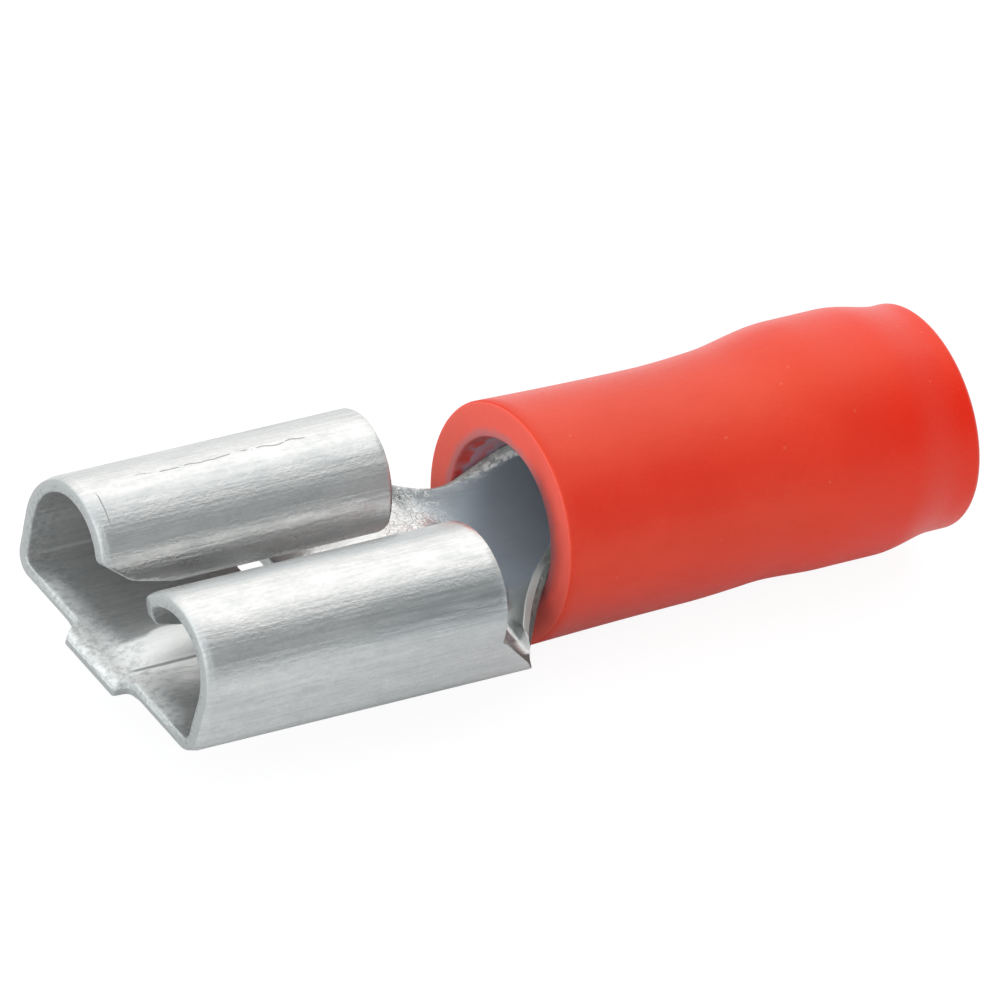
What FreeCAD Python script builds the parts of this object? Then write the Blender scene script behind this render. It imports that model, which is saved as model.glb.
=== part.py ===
import FreeCAD, Part
import math
import os
from FreeCAD import Vector

# Female push-on spade connector with an insulated wire end. It is two pieces:
# one stamping rolled out of thin tinned brass sheet, and the soft plastic
# sleeve that is pushed over its wire barrel.
#
# Frame, in millimetres: X runs from the mouth, where the blade goes in, to
# the wire end. Y is across the blade, and Z points away from the flat floor.
# The origin is on the underside of the floor, midway between the two rolls,
# at their front edges.

# The flat blade that the connector grips
blade_width = 6.3
blade_thickness = 0.8
blade_side_clearance = 0.21
blade_pinch = 0.06

sheet = 0.32

# The two rolls that hold the edges of the blade. Their tips point down at it,
# and are trimmed back at the mouth to lead it in. Angles are in degrees.
roll_inner_radius = 1.25
roll_length = 7.70
roll_tip_angle = 184.0
tip_lead_angle = 31.0
tip_lead_length = 1.15
tip_corner_radius = 0.35
edge_bevel_length = 0.22
edge_bevel_drop = 0.05

# Floor between the rolls, and the slope that their rear ends are cut to
corner_inner_radius = 0.21
wall_inset = 0.05
rear_slope_length = 1.20
rear_slope_top = 1.32
rear_slope_foot = 0.02

# Tongue that stands out ahead of the floor
lip_length = 0.45
lip_root_half_width = 1.12
lip_front_half_width = 0.93
lip_corner_radius = 0.12
lip_root_radius = 0.18
lip_lead_length = 0.16
lip_lead_drop = 0.13

# Ridge pressed up out of the floor, which holds the blade against the tips
ridge_height = 0.32
ridge_half_width = 0.77
ridge_start = 0.30
ridge_toe_height = 0.03
ridge_swell_length = 1.60
ridge_swell_share = 0.75

# Slot across the floor, where the ridge ends
slot_front = 4.40
slot_length = 0.81
slot_half_width = 2.15
slot_corner_radius = 0.15

# Neck that narrows and curls up into the wire barrel. The edge climbs on a
# curve whose four control heights are shares of the height of the axis.
neck_length = 1.22
neck_corner_reach = 0.08
neck_edge_climb = (0.0, 0.49, 0.34, 1.0)
neck_sections = 8
neck_run_on = 0.22
neck_hair = 0.004

# Wire barrel: first a trough whose edges climb until they meet, then closed.
# The climb's two middle control points are shares of its length and height.
barrel_outer_radius = 1.65
barrel_axis_height = 1.24
trough_length = 1.58
trough_edge_climb = ((0.28, 0.45), (0.55, 1.0))
barrel_closed_length = 4.65
seam_gap = 0.06

# Plastic sleeve, front half, around the barrel
sleeve_fit = 0.01
sleeve_lead = 0.15
front_wall = 1.05
waist_wall = 0.94
front_rounding = 0.20
mouth_clearance = 0.34
mouth_step_clearance = 0.24
mouth_step_depth = 0.12
mouth_throat_depth = 0.28

# Plastic sleeve, rear half, around the insulation of the wire. It lies a
# little higher than the barrel, and its end face leans forward at the top.
waist_stop_gap = 0.65
bulge_step_length = 1.90
bulge_wall = 0.807
tail_step_length = 1.50
tail_length = 0.48
tail_wall = 0.59
tail_rounding = 0.28
rear_rise = 0.25
rise_stop_gap = 2.35
rise_length = 3.80
end_lean = 4.4
stop_clearance = 0.22
stop_length = 0.20
funnel_length = 0.95
wire_entry_radius = 1.95
wire_entry_length = 3.48
wire_entry_rounding = 0.15
sleeve_sections = 18

# Cutting shapes reach this far past what they cut
margin = 1.0
# Faces that would otherwise lie in one plane are kept apart by this much
hair = 0.001

# Across the receptacle
roll_mid_radius = roll_inner_radius + sheet / 2
roll_outer_radius = roll_inner_radius + sheet
corner_mid_radius = corner_inner_radius + sheet / 2
corner_outer_radius = corner_inner_radius + sheet
roll_centre_half_gap = blade_width / 2 + blade_side_clearance - roll_inner_radius
receptacle_half_width = roll_centre_half_gap + roll_outer_radius
floor_flat_half_width = receptacle_half_width - wall_inset - corner_outer_radius
neck_start_half_width = floor_flat_half_width + neck_corner_reach
roll_tip_drop = -roll_outer_radius * math.sin(math.radians(roll_tip_angle))
roll_centre_height = sheet + ridge_height + blade_thickness - blade_pinch + roll_tip_drop
receptacle_height = roll_centre_height + roll_outer_radius

# Along the connector
floor_length = roll_length + rear_slope_length
neck_round_at = floor_length + neck_length
neck_closed_at = neck_round_at + trough_length
barrel_end = neck_closed_at + barrel_closed_length
barrel_inner_radius = barrel_outer_radius - sheet
sleeve_front = neck_round_at - sleeve_lead
funnel_at = barrel_end + stop_length
wire_entry_at = funnel_at + funnel_length
sleeve_end = wire_entry_at + wire_entry_length


def direction(angle):
    """Unit vector in the YZ plane, at an angle in degrees from +Y towards +Z."""
    turn = math.radians(angle)
    return Vector(0, math.cos(turn), math.sin(turn))


def arc_between(centre, radius, start, end):
    """Arc across X around a centre, from one angle to another, in degrees."""
    points = [centre + direction(angle) * radius for angle in (start, (start + end) / 2, end)]
    return Part.Arc(*points).toShape()


def line_between(first, second):
    return Part.makeLine(first, second)


def mirrored(shape):
    return shape.mirror(Vector(0, 0, 0), Vector(0, 1, 0))


def prism_along_y(outline, half_width):
    """Solid between -half_width and +half_width, from (x, z) corners."""
    points = [Vector(x, -half_width, z) for x, z in outline]
    face = Part.Face(Part.makePolygon(points + points[:1]))
    return face.extrude(Vector(0, 2 * half_width, 0))


def wall_angle(corner, roll):
    """Angle of the normal of the straight wall that touches both bends."""
    span = roll - corner
    heading = math.degrees(math.atan2(span.z, span.y))
    reach = math.hypot(span.y, span.z)
    return heading - math.degrees(math.acos((corner_mid_radius - roll_mid_radius) / reach))


def wing_section(x, drop):
    """Cut through the +Y half of the receptacle at x, as a closed wire.

    The sheet is thinner by drop on its outside, for the coined front edge.
    """
    corner = Vector(x, floor_flat_half_width, corner_outer_radius)
    roll = Vector(x, roll_centre_half_gap, roll_centre_height)
    wall = wall_angle(corner, roll)
    outside = roll_outer_radius - drop
    inside = roll_inner_radius
    corner_outside = corner_outer_radius - drop
    corner_inside = corner_inner_radius
    out = direction(wall)
    tip = direction(roll_tip_angle)
    return Part.Wire([
        line_between(Vector(x, 0, drop), Vector(x, corner.y, drop)),
        arc_between(corner, corner_outside, -90, wall),
        line_between(corner + out * corner_outside, roll + out * outside),
        arc_between(roll, outside, wall, roll_tip_angle),
        line_between(roll + tip * outside, roll + tip * inside),
        arc_between(roll, inside, roll_tip_angle, wall),
        line_between(roll + out * inside, corner + out * corner_inside),
        arc_between(corner, corner_inside, wall, -90),
        line_between(Vector(x, corner.y, sheet), Vector(x, 0, sheet)),
        line_between(Vector(x, 0, sheet), Vector(x, 0, drop)),
    ])


def receptacle_half():
    """Floor, wall and roll on the +Y side, trimmed at both ends."""
    section = wing_section(edge_bevel_length, 0.0)
    bevel = Part.makeLoft([wing_section(0.0, edge_bevel_drop), section], True, True)
    body = Part.Face(section).extrude(Vector(floor_length - edge_bevel_length, 0, 0))
    half = bevel.fuse(body)
    return half.cut([rear_slope_cut(), tip_lead_cut()])


def rear_slope_cut():
    """Clears what stands behind the rolls, down to the flat floor."""
    above = receptacle_height + margin
    behind = floor_length + margin
    outline = [
        (roll_length, above),
        (roll_length, rear_slope_top),
        (floor_length, rear_slope_foot),
        (behind, rear_slope_foot),
        (behind, above),
    ]
    block = prism_along_y(outline, receptacle_half_width + margin)
    return block.cut(Part.makeBox(behind, neck_start_half_width, sheet, Vector(0, 0, 0)))


def roll_inside_height(angle):
    """Height of the inside of the roll at an angle in degrees."""
    return roll_centre_height + roll_inner_radius * math.sin(math.radians(angle))


def tip_lead_cut():
    """Trims the tips at the mouth: a rounded shoulder, then a slope down to them."""
    tip = roll_inside_height(roll_tip_angle)
    front_tip = roll_inside_height(roll_tip_angle - tip_lead_angle)
    slope = math.atan2(front_tip - tip, tip_lead_length)
    turn = math.pi / 2 - slope
    setback = tip_corner_radius * math.tan(turn / 2)
    half_width = roll_centre_half_gap - roll_inner_radius / 3

    def at(x, z):
        return Vector(x, -half_width, z)

    centre = at(tip_corner_radius, front_tip + setback)
    halfway = Vector(-math.cos(turn / 2), 0, -math.sin(turn / 2)) * tip_corner_radius
    shoulder_top = at(0, front_tip + setback)
    shoulder_foot = at(setback * math.cos(slope), front_tip - setback * math.sin(slope))
    rear = tip_lead_length + sheet
    low = tip - roll_inner_radius / 2
    corners = [
        shoulder_foot,
        at(rear, tip - sheet * math.tan(slope)),
        at(rear, low),
        at(-margin, low),
        at(-margin, front_tip + setback),
        shoulder_top,
    ]
    edges = [line_between(first, second) for first, second in zip(corners, corners[1:])]
    edges.append(Part.Arc(shoulder_top, centre + halfway, shoulder_foot).toShape())
    return Part.Face(Part.Wire(edges)).extrude(Vector(0, 2 * half_width, 0))


def stands_at(edge, x, half_width):
    """True for the two standing edges at this x and at plus or minus half_width."""
    box = edge.BoundBox
    upright = box.XLength < hair and box.YLength < hair
    return upright and abs(box.XMin - x) < hair and abs(abs(box.YMin) - half_width) < hair


def lip():
    """Tongue ahead of the floor, with a lead-in along its top front edge."""
    shoulder = lip_root_half_width + lip_root_radius
    right = [
        (edge_bevel_length, shoulder),
        (0, shoulder),
        (0, lip_root_half_width),
        (-lip_length, lip_front_half_width),
    ]
    left = [(x, -y) for x, y in reversed(right)]
    points = [Vector(x, y, 0) for x, y in right + left]
    plate = Part.Face(Part.makePolygon(points + points[:1])).extrude(Vector(0, 0, sheet))
    front = [edge for edge in plate.Edges if stands_at(edge, -lip_length, lip_front_half_width)]
    plate = plate.makeFillet(lip_corner_radius, front)
    root = [edge for edge in plate.Edges if stands_at(edge, 0, lip_root_half_width)]
    plate = plate.makeFillet(lip_root_radius - hair, root)
    outline = [
        (-lip_length, sheet - lip_lead_drop),
        (-lip_length + lip_lead_length, sheet),
        (-lip_length + lip_lead_length, sheet + margin),
        (-lip_length - margin, sheet + margin),
        (-lip_length - margin, sheet - lip_lead_drop),
    ]
    return plate.cut(prism_along_y(outline, shoulder + margin))


def ridge_section(x, foot, height, half_width):
    """Segment of a circle over a chord across the floor, as a closed wire."""
    left = Vector(x, -half_width, foot)
    right = Vector(x, half_width, foot)
    crown = Vector(x, 0, foot + height)
    return Part.Wire([Part.Arc(left, crown, right).toShape(), line_between(right, left)])


def ridge_body(foot, half_width):
    """Arched bar that swells out of the floor and ends in the slot."""
    swell_end = ridge_start + ridge_swell_length
    stations = [
        (ridge_start, ridge_toe_height),
        ((ridge_start + swell_end) / 2, ridge_height * ridge_swell_share),
        (swell_end, ridge_height),
        (slot_front + slot_length / 2, ridge_height),
    ]
    return Part.makeLoft([ridge_section(x, foot, high, half_width) for x, high in stations], True)


def slot_cut():
    corner = Vector(slot_front, -slot_half_width, -margin)
    block = Part.makeBox(slot_length, 2 * slot_half_width, sheet + 2 * margin, corner)
    upright = [edge for edge in block.Edges if edge.BoundBox.ZLength > sheet]
    return block.makeFillet(slot_corner_radius, upright)


def eased(step):
    """Zero to one, level at both ends."""
    return step * step * (3 - 2 * step)


def on_curve(heights, step):
    """Height at a step from 0 to 1 along a curve with four control heights."""
    rest = 1 - step
    weights = (rest ** 3, 3 * rest ** 2 * step, 3 * rest * step ** 2, step ** 3)
    return sum(weight * height for weight, height in zip(weights, heights))


def neck_underside():
    """Arcs across the underside of the neck: each is a station along X, the
    height of its middle, its half width and the height of its two ends.

    They run on a little past both ends of the neck, so that it leaves the
    floor level and meets the barrel in line before it is trimmed to length.
    """
    radius = barrel_outer_radius - neck_hair
    low_end = barrel_axis_height - radius
    # A flat stretch is an arc with a bow this small
    flat_edge = neck_hair + hair / 2
    arcs = []
    for share in (1.0, 0.6, 0.2):
        arcs.append((floor_length - neck_run_on * share, neck_hair, neck_start_half_width, flat_edge))
    for index in range(1, neck_sections + 1):
        step = index / neck_sections
        low = neck_hair + (low_end - neck_hair) * eased(step)
        half_width = neck_start_half_width + (radius - neck_start_half_width) * step
        climb = on_curve(neck_edge_climb, step)
        edge_height = flat_edge + (barrel_axis_height - flat_edge) * climb
        arcs.append((floor_length + neck_length * step, low, half_width, edge_height))
    for share in (0.3, 0.6, 1.0):
        arcs.append((neck_round_at + neck_run_on * share, low_end, radius, barrel_axis_height))
    return arcs


def upper_point(arcs, index, side):
    """Point of the upper face straight across the sheet from the end of an
    arc, at side -1 or 1, or from its middle, at side 0."""
    def below(number):
        x, low, half_width, edge_height = arcs[number]
        return Vector(x, side * half_width, edge_height if side else low)

    x, low, half_width, edge_height = arcs[index]
    bow = edge_height - low
    radius = (half_width ** 2 + bow ** 2) / (2 * bow)
    point = below(index)
    inward = Vector(x, 0, low + radius) - point
    across = inward.cross(Vector(1, 0, 0))
    along = below(min(index + 1, len(arcs) - 1)) - below(max(index - 1, 0))
    return point + along.cross(across).normalize() * (sheet - 2 * neck_hair)


def neck():
    """Sheet that leaves the flat floor, narrows and curls up to a half round.

    It lies a hair inside the faces of the floor and the barrel, so that it
    joins cleanly with both.
    """
    arcs = neck_underside()
    sections = []
    for index, (x, low, half_width, edge_height) in enumerate(arcs):
        left = Vector(x, -half_width, edge_height)
        right = Vector(x, half_width, edge_height)
        upper_left, upper_middle, upper_right = [upper_point(arcs, index, side) for side in (-1, 0, 1)]
        sections.append(Part.Wire([
            Part.Arc(left, Vector(x, 0, low), right).toShape(),
            line_between(right, upper_right),
            Part.Arc(upper_right, upper_middle, upper_left).toShape(),
            line_between(upper_left, left),
        ]))
    reach = 2 * floor_length
    between = Part.makeBox(neck_length, reach, reach, Vector(floor_length, -reach / 2, -reach / 2))
    return Part.makeLoft(sections, True).common(between)


def barrel():
    """Wire barrel: open on top behind the neck, then closed with a butt seam."""
    start = Vector(neck_round_at, 0, barrel_axis_height)
    along = Vector(1, 0, 0)
    length = barrel_end - neck_round_at
    tube = Part.makeCylinder(barrel_outer_radius, length, start, along)
    tube = tube.cut(Part.makeCylinder(barrel_inner_radius, length, start, along))
    seam_at = start - Vector(0, seam_gap / 2, 0)
    seam = Part.makeBox(length, seam_gap, 2 * barrel_outer_radius, seam_at)
    return tube.cut([seam, trough_cut()])


def trough_cut():
    """Clears the barrel above its two edges, which climb until they meet."""
    radius = barrel_outer_radius

    def at(x, z):
        return Vector(neck_round_at + x, -2 * radius, barrel_axis_height + z)

    climb = Part.BezierCurve()
    middle = [at(trough_length * along, radius * up) for along, up in trough_edge_climb]
    climb.setPoles([at(0, 0), *middle, at(trough_length, radius)])
    corners = [
        at(trough_length, radius),
        at(trough_length, 2 * radius),
        at(-margin, 2 * radius),
        at(-margin, 0),
        at(0, 0),
    ]
    edges = [line_between(first, second) for first, second in zip(corners, corners[1:])]
    return Part.Face(Part.Wire([climb.toShape(), *edges])).extrude(Vector(0, 4 * radius, 0))


def terminal():
    half = receptacle_half()
    shape = half.fuse([mirrored(half), lip(), ridge_body(sheet, ridge_half_width)])
    groove = ridge_body(-hair, ridge_half_width - sheet / 2)
    shape = shape.cut([groove, slot_cut()])
    return shape.fuse([neck(), barrel()]).removeSplitter()


def sleeve_radius(x):
    """Outer radius of the sleeve: flared front, waist, bulge and tail."""
    throat = barrel_outer_radius + sleeve_fit
    waist_at = barrel_end - waist_stop_gap
    bulge_at = waist_at + bulge_step_length
    tail_at = sleeve_end - tail_length
    waist = throat + waist_wall
    bulge = wire_entry_radius + bulge_wall
    tail = wire_entry_radius + tail_wall
    if x < waist_at:
        return waist + (front_wall - waist_wall) * ((waist_at - x) / (waist_at - sleeve_front)) ** 2
    if x < bulge_at:
        return waist + (bulge - waist) * eased((x - waist_at) / bulge_step_length)
    if x < tail_at - tail_step_length:
        return bulge
    return bulge + (tail - bulge) * eased(min(1, 1 + (x - tail_at) / tail_step_length))


def sleeve_axis_height(x):
    """Height of the sleeve's middle, which rises from the barrel to the rear."""
    step = (x - barrel_end + rise_stop_gap) / rise_length
    return barrel_axis_height + rear_rise * eased(min(1, max(0, step)))


def ring_at(x, height, radius):
    return Part.Wire([Part.makeCircle(radius, Vector(x, 0, height), Vector(1, 0, 0))])


def cone_between(x, radius, end_x, end_radius):
    """Cone or cylinder on the barrel's axis."""
    base = Vector(x, 0, barrel_axis_height)
    along = Vector(1, 0, 0)
    if radius == end_radius:
        return Part.makeCylinder(radius, end_x - x, base, along)
    return Part.makeCone(radius, end_radius, end_x - x, base, along)


def round_ring(shape, x, radius, rounding):
    """Rounds the one ring edge that lies nearest to x and has this radius."""
    def misfit(edge):
        return abs(edge.CenterOfMass.x - x) + abs(edge.BoundBox.YLength / 2 - radius)

    ring = min([edge for edge in shape.Edges if edge.isClosed()], key=misfit)
    return shape.makeFillet(rounding, [ring])


def sleeve_body():
    """Outside of the sleeve, as a solid with no hole."""
    reach = sleeve_end + margin - sleeve_front
    stations = [sleeve_front + reach * index / sleeve_sections for index in range(sleeve_sections + 1)]
    rings = [ring_at(x, sleeve_axis_height(x), sleeve_radius(x)) for x in stations]
    height = sleeve_axis_height(sleeve_end)
    side = 4 * sleeve_radius(sleeve_end)
    behind = Part.makeBox(side, side, side, Vector(sleeve_end, -side / 2, height - side / 2))
    behind.rotate(Vector(sleeve_end, 0, height), Vector(0, 1, 0), -end_lean)
    return Part.makeLoft(rings, True).cut(behind)


def sleeve_bore():
    """Space inside the sleeve: stepped mouth, throat, stop, funnel and the
    straight hole for the wire's insulation, which goes out through the end."""
    throat = barrel_outer_radius + sleeve_fit
    stop_radius = barrel_inner_radius + stop_clearance
    step_at = sleeve_front + mouth_step_depth
    throat_at = sleeve_front + mouth_throat_depth
    step_radius = throat + mouth_step_clearance
    # The mouth's cone is carried on ahead of the front face
    flare = (mouth_clearance - mouth_step_clearance) * margin / mouth_step_depth
    mouth_radius = throat + mouth_clearance + flare
    entry_height = sleeve_axis_height(sleeve_end)
    funnel_front = ring_at(funnel_at, barrel_axis_height, stop_radius)
    funnel_rear = ring_at(wire_entry_at, entry_height, wire_entry_radius)
    entry_from = Vector(wire_entry_at, 0, entry_height)
    entry_length = wire_entry_length + margin
    return [
        cone_between(sleeve_front - margin, mouth_radius, step_at, step_radius),
        cone_between(step_at, step_radius, throat_at, throat),
        cone_between(throat_at, throat, barrel_end, throat),
        cone_between(barrel_end, stop_radius, funnel_at, stop_radius),
        Part.makeLoft([funnel_front, funnel_rear], True, True),
        Part.makeCylinder(wire_entry_radius, entry_length, entry_from, Vector(1, 0, 0)),
    ]


def insulating_sleeve():
    sleeve = sleeve_body().cut(sleeve_bore())
    sleeve = round_ring(sleeve, sleeve_front, sleeve_radius(sleeve_front), front_rounding)
    sleeve = round_ring(sleeve, sleeve_end, sleeve_radius(sleeve_end), tail_rounding)
    return round_ring(sleeve, sleeve_end, wire_entry_radius, wire_entry_rounding)


os.makedirs("parts", exist_ok=True)
pieces = {"terminal": terminal(), "insulating_sleeve": insulating_sleeve()}
for name, shape in pieces.items():
    shape.exportStep("parts/" + name + ".step")
    box = shape.optimalBoundingBox()
    low = [round(value, 3) for value in (box.XMin, box.YMin, box.ZMin)]
    high = [round(value, 3) for value in (box.XMax, box.YMax, box.ZMax)]
    print(name, "solids", len(shape.Solids), "valid", shape.isValid())
    print("  volume", round(shape.Volume, 3), "from", low, "to", high)
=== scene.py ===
"""Looks of a female spade connector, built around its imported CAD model.

The terminal is drawn as the flat blank that it is stamped from, and every
point of the blank is then folded to its place. The sleeve is turned from a
profile. Lengths are in metres, in the frame of the CAD model; only the
defaults of the sizes below and the marks in the materials are in millimetres.
"""

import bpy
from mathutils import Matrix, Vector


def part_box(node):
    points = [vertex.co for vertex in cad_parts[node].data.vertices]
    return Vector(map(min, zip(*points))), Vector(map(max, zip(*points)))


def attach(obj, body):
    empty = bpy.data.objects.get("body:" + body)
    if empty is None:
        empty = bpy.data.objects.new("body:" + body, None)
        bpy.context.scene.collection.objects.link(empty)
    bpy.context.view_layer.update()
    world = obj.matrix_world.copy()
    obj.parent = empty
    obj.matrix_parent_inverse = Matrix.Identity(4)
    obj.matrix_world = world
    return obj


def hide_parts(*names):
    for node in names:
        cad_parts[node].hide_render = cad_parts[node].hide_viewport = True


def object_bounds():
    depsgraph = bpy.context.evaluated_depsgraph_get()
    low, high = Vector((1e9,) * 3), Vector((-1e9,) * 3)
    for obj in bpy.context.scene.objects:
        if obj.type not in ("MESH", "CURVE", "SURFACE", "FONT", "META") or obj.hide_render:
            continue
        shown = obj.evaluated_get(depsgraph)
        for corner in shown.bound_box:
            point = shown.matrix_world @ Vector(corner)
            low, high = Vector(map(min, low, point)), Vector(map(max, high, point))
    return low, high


bl_info = {
    "name": "Female Spade Connector",
    "version": (1, 0, 0),
    "blender": (4, 5, 0),
    "location": "View3D > Sidebar > Connector",
    "description": "Builds a sleeved female spade connector on its stage",
    "category": "Add Mesh",
}

import math
from functools import partialmethod
from types import SimpleNamespace

import bmesh
import bpy
import numpy as np
from bpy.props import FloatProperty, FloatVectorProperty, IntProperty, PointerProperty
from mathutils import Matrix, Vector, noise
from mathutils.geometry import delaunay_2d_cdt

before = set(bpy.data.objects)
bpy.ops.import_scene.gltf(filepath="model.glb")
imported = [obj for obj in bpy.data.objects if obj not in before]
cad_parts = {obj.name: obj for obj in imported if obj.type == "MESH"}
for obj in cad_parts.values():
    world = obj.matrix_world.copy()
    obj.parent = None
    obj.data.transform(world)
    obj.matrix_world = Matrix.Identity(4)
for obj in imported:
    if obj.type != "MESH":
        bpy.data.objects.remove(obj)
CAD_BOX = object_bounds()
TERMINAL_LOW, TERMINAL_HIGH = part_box("terminal")
SLEEVE_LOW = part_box("insulating_sleeve")[0]

MM = 0.001


# Sizes and colours

def number(name, description, value, **more):
    return FloatProperty(name=name, description=description, default=value, **more)


def length(name, description, value):
    """A length, with its default in millimetres."""
    return number(name, description, value * MM, unit="LENGTH", precision=6)


def turn(name, description, degrees):
    return number(name, description, math.radians(degrees), subtype="ANGLE")


def share(name, description, value):
    return number(name, description, value, min=0, max=1, subtype="FACTOR")


def colour(name, description, value):
    return FloatVectorProperty(
        name=name, description=description, default=value, size=3, min=0, max=1, subtype="COLOR")


class TerminalSizes(bpy.types.PropertyGroup):
    """Sizes of the stamped terminal."""

    sheet: length("Sheet", "Thickness of the brass sheet", 0.32)
    half_width: length("Half width", "Middle to the outside of a roll", TERMINAL_HIGH.y / MM)
    top: length("Top", "Height of the rolls", TERMINAL_HIGH.z / MM)
    roll_radius: length("Roll radius", "Outer radius of the rolls", 1.57)
    roll_length: length("Roll length", "Mouth to the rear of the rolls", 7.70)
    roll_tip: turn("Roll tip", "Where the rolls end, from the outside over the top", 187.5)
    near_lead: turn("Near lead", "How far the near tip is trimmed back at the mouth", 50)
    near_knee: turn("Near knee", "How far the near tip is trimmed back at its knee", 8)
    near_length: length("Near length", "Mouth to the knee of the near tip", 0.52)
    far_lead: turn("Far lead", "How far the far tip is trimmed back at the mouth", 31)
    far_knee: turn("Far knee", "How far the far tip is trimmed back at the knee", 11)
    knee: length("Knee", "Mouth to the knee of the far tip", 0.75)
    lead_length: length("Lead length", "Length over which the far tip is trimmed", 1.90)
    rear_rounding: length("Rear rounding", "Rounding of the tips' rear corners", 0.30)
    far_skew: length("Far skew", "How much shorter the far roll is at its tip", 0.32)
    corner_radius: length("Corner radius", "Outer radius between floor and wall", 0.53)
    wall_inset: length("Wall inset", "How far the corner lies inside the roll", 0.05)
    slope_top: length("Slope top", "Height where the rear slope starts", 1.32)
    floor_end: length("Floor end", "Where the flat floor ends", 8.90)
    neck_half_width: length("Neck half width", "Half width where the neck starts", 3.18)
    neck_end: length("Neck end", "Where the neck has become a half round", 10.12)
    barrel_radius: length("Barrel radius", "Outer radius of the wire barrel", 1.65)
    barrel_closed: length("Barrel closed", "Where the barrel's edges meet", 11.70)
    barrel_end: length("Barrel end", "End of the wire barrel", TERMINAL_HIGH.x / MM)
    seam: length("Seam", "Gap of the barrel's butt seam", 0.06)
    lip_near: length("Lip near side", "Middle to the near side of the tongue's front", 1.11)
    lip_far: length("Lip far side", "Middle to the far side of the tongue's front", 0.84)
    lip_root: length("Lip root", "Half width of the tongue's root", 1.14)
    lip_lead: length("Lip lead", "Length of the tongue's bevel", 0.11)
    lip_drop: length("Lip drop", "Depth of the tongue's bevel", 0.07)
    coin_length: length("Coin length", "Length of the flattened front edge", 0.22)
    coin_depth: length("Coin depth", "Depth of the flattened front edge", 0.05)
    ridge_height: length("Ridge height", "Height of the ridge over the floor", 0.32)
    ridge_half_width: length("Ridge half width", "Half width of the ridge", 0.81)
    ridge_start: length("Ridge start", "Front of the ridge", 0.30)
    ridge_swell: length("Ridge swell", "Length over which the ridge rises", 2.10)
    slot_start: length("Slot start", "Front of the slot across the floor", 4.40)
    slot_length: length("Slot length", "Size of the slot along the floor", 0.81)
    slot_half_width: length("Slot half width", "Half of the slot's width", 2.15)
    edge_rounding: length("Edge rounding", "Rounding of the sheared edges", 0.035)
    edge_roughness: length("Edge roughness", "Unevenness of the sheared edges", 0.012)
    burr_size: length("Burr size", "Radius of the burrs on the rear edges", 0.017)
    burr_density: number("Burr density", "Burrs on each square millimetre of edge", 22)


class SleeveSizes(bpy.types.PropertyGroup):
    """Sizes of the turned plastic sleeve."""

    front: length("Front", "Front face of the sleeve", SLEEVE_LOW.x / MM)
    end: length("End", "Rear end of the sleeve on its axis", 20.945)
    axis: length("Axis", "Height of the barrel's axis", 1.24)
    rise: length("Rise", "How much higher the rear lies", 0.25)
    rise_start: length("Rise start", "Where the sleeve starts to rise", 14.00)
    rise_end: length("Rise end", "Where the sleeve is at its full height", 17.80)
    lean: turn("Lean", "How far the end face leans forward", 4.7)
    mouth_radius: length("Mouth radius", "Radius of the hole in the front face", 1.90)
    throat_radius: length("Throat radius", "Radius of the hole round the barrel", 1.66)
    stop_radius: length("Stop radius", "Radius inside the ring behind the barrel", 1.55)
    entry_radius: length("Entry radius", "Radius of the hole for the wire", 1.95)
    front_radius: length("Front radius", "Outer radius at the front", 2.706)
    waist_radius: length("Waist radius", "Outer radius at the waist", 2.60)
    bulge_radius: length("Bulge radius", "Outer radius over the wire's insulation", 2.757)
    tail_radius: length("Tail radius", "Outer radius at the rear end", 2.54)
    segments: IntProperty(
        name="Segments", description="Steps around the sleeve", default=160, min=24, max=320)
    waviness: length("Waviness", "Unevenness of the moulded surface", 0.010)


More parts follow.
